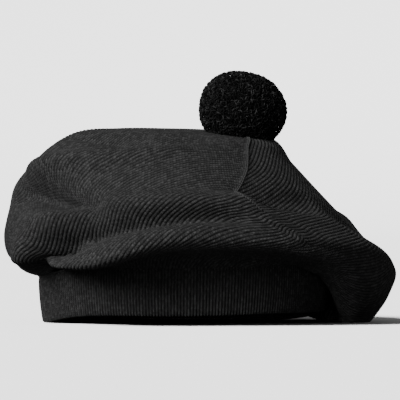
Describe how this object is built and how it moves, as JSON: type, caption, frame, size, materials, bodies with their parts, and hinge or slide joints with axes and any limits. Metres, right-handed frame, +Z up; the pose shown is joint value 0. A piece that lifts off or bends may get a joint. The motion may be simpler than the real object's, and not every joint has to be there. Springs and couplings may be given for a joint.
{
  "type": "knitted tam o shanter",
  "caption": "Soft knitted wool hat with a full draped crown that flops to one side, a ribbed oval headband and a yarn pompom, lying as it rests by itself",
  "frame": {"origin": "on the surface that the hat rests on, under the middle of its bounding box", "axes": "+Z up, +X towards the side where the crown flops down, +Y towards the back of the hat as the picture shows it"},
  "size_m": [0.2721, 0.2626, 0.1758],
  "materials": {
    "knitted_wool": "black wool in a fine ribbed knit, matt with a soft nap",
    "ribbed_wool": "black wool in narrow upright ribs, matt",
    "pompom_wool": "cut black wool yarn, dense and curly"
  },
  "bodies": {
    "root": {"crown": "knitted_wool", "headband": "ribbed_wool", "pompom": "pompom_wool"}
  },
  "joints": []
}
